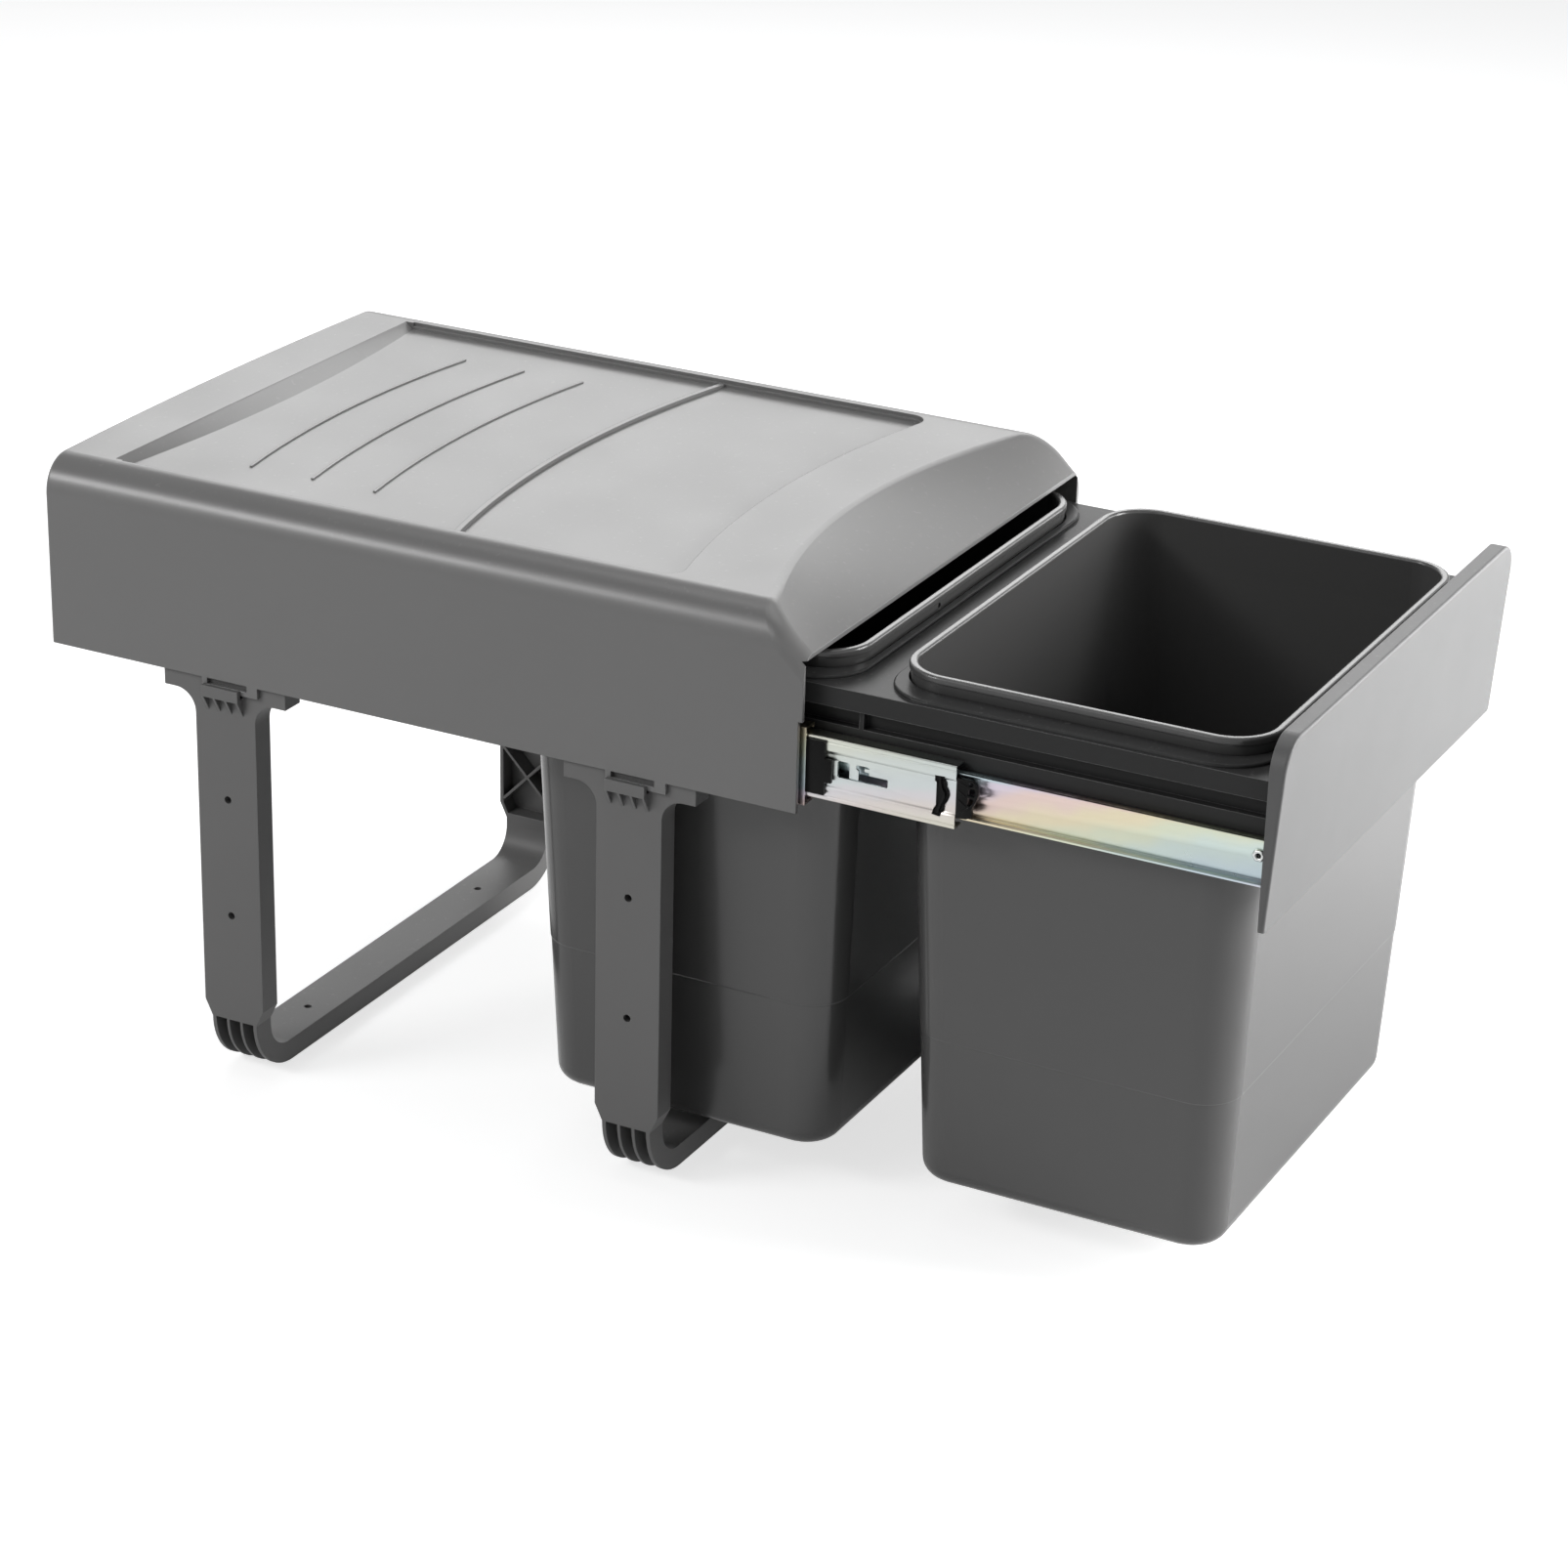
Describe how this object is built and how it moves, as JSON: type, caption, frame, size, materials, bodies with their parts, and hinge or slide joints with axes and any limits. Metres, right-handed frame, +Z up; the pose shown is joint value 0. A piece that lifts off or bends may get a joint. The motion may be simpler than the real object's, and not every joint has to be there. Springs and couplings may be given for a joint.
{
  "type": "pull-out bin frame",
  "caption": "Twin-bin pull-out for a kitchen base cabinet: covered housing on U-shaped legs, telescopic slides, lift-out bins and a front panel.",
  "frame": {"origin": "middle of the base, on the floor, halfway along the length with the drawer out as pictured", "axes": "+Z up, the drawer pulls out towards -Y, +X to the right seen from the front"},
  "size_m": [0.356, 0.7504, 0.3585],
  "materials": {
    "cover_plastic": "satin moulded grey",
    "leg_plastic": "matt moulded grey",
    "carrier_plastic": "satin dark grey",
    "panel_plastic": "satin moulded grey",
    "bin_plastic": "satin dark grey",
    "zinc_steel": "bright zinc plate with a faint rainbow passivation",
    "cage_steel": "bright strip",
    "ball_steel": "polished",
    "black_plastic": "black acetal",
    "screw_steel": "zinc plated",
    "rivet_steel": "bright"
  },
  "bodies": {
    "frame": {"cover_shell": "cover_plastic", "rear_leg_frame": "leg_plastic", "front_leg_frame": "leg_plastic", "left_cabinet_member": "zinc_steel", "right_cabinet_member": "zinc_steel", "left_end_stop": "black_plastic", "right_end_stop": "black_plastic", "cabinet_screws": "screw_steel"},
    "drawer": {"carrier_frame": "carrier_plastic", "front_panel": "panel_plastic", "left_drawer_member": "zinc_steel", "right_drawer_member": "zinc_steel", "drawer_rivets": "rivet_steel", "lever_rivets": "rivet_steel", "panel_screws": "screw_steel"},
    "front_bin": {"front_bin": "bin_plastic"},
    "rear_bin": {"rear_bin": "bin_plastic"},
    "left_intermediate": {"left_intermediate_member": "zinc_steel", "left_front_bumper": "black_plastic"},
    "left_outer_cage": {"left_outer_cage": "cage_steel", "left_outer_balls": "ball_steel"},
    "left_inner_cage": {"left_inner_cage": "cage_steel", "left_inner_balls": "ball_steel"},
    "left_release_lever": {"left_release_lever": "black_plastic"},
    "right_intermediate": {"right_intermediate_member": "zinc_steel", "right_front_bumper": "black_plastic"},
    "right_outer_cage": {"right_outer_cage": "cage_steel", "right_outer_balls": "ball_steel"},
    "right_inner_cage": {"right_inner_cage": "cage_steel", "right_inner_balls": "ball_steel"},
    "right_release_lever": {"right_release_lever": "black_plastic"}
  },
  "joints": [
    {"name": "drawer_slide", "type": "slide", "parent": "frame", "child": "drawer", "axis": [0, -1, 0], "range_m": [-0.24, 0.21]},
    {"name": "left_intermediate_slide", "type": "slide", "parent": "frame", "child": "left_intermediate", "axis": [0, -1, 0], "range_m": [-0.0817, 0.0715]},
    {"name": "left_outer_cage_slide", "type": "slide", "parent": "frame", "child": "left_outer_cage", "axis": [0, -1, 0], "range_m": [-0.0409, 0.0358]},
    {"name": "left_inner_cage_slide", "type": "slide", "parent": "frame", "child": "left_inner_cage", "axis": [0, -1, 0], "range_m": [-0.1609, 0.1408]},
    {"name": "left_lever_turn", "type": "hinge", "parent": "drawer", "child": "left_release_lever", "pos_m": [-0.1595, -0.05675, 0.2746], "axis": [1, 0, 0], "range_deg": [-5, 5]},
    {"name": "right_intermediate_slide", "type": "slide", "parent": "frame", "child": "right_intermediate", "axis": [0, -1, 0], "range_m": [-0.0817, 0.0715]},
    {"name": "right_outer_cage_slide", "type": "slide", "parent": "frame", "child": "right_outer_cage", "axis": [0, -1, 0], "range_m": [-0.0409, 0.0358]},
    {"name": "right_inner_cage_slide", "type": "slide", "parent": "frame", "child": "right_inner_cage", "axis": [0, -1, 0], "range_m": [-0.1609, 0.1408]},
    {"name": "right_lever_turn", "type": "hinge", "parent": "drawer", "child": "right_release_lever", "pos_m": [0.1595, -0.05675, 0.2746], "axis": [1, 0, 0], "range_deg": [-5, 5]},
    {"name": "front_bin_lift", "type": "slide", "parent": "drawer", "child": "front_bin", "axis": [0, 0, 1], "range_m": [0, 0.31]},
    {"name": "rear_bin_lift", "type": "slide", "parent": "drawer", "child": "rear_bin", "axis": [0, 0, 1], "range_m": [0, 0.0025]}
  ],
  "couplings": [
    {"joint": "left_intermediate_slide", "follows": "drawer_slide", "ratio": 0.34},
    {"joint": "left_outer_cage_slide", "follows": "drawer_slide", "ratio": 0.17},
    {"joint": "left_inner_cage_slide", "follows": "drawer_slide", "ratio": 0.67},
    {"joint": "right_intermediate_slide", "follows": "drawer_slide", "ratio": 0.34},
    {"joint": "right_outer_cage_slide", "follows": "drawer_slide", "ratio": 0.17},
    {"joint": "right_inner_cage_slide", "follows": "drawer_slide", "ratio": 0.67}
  ]
}
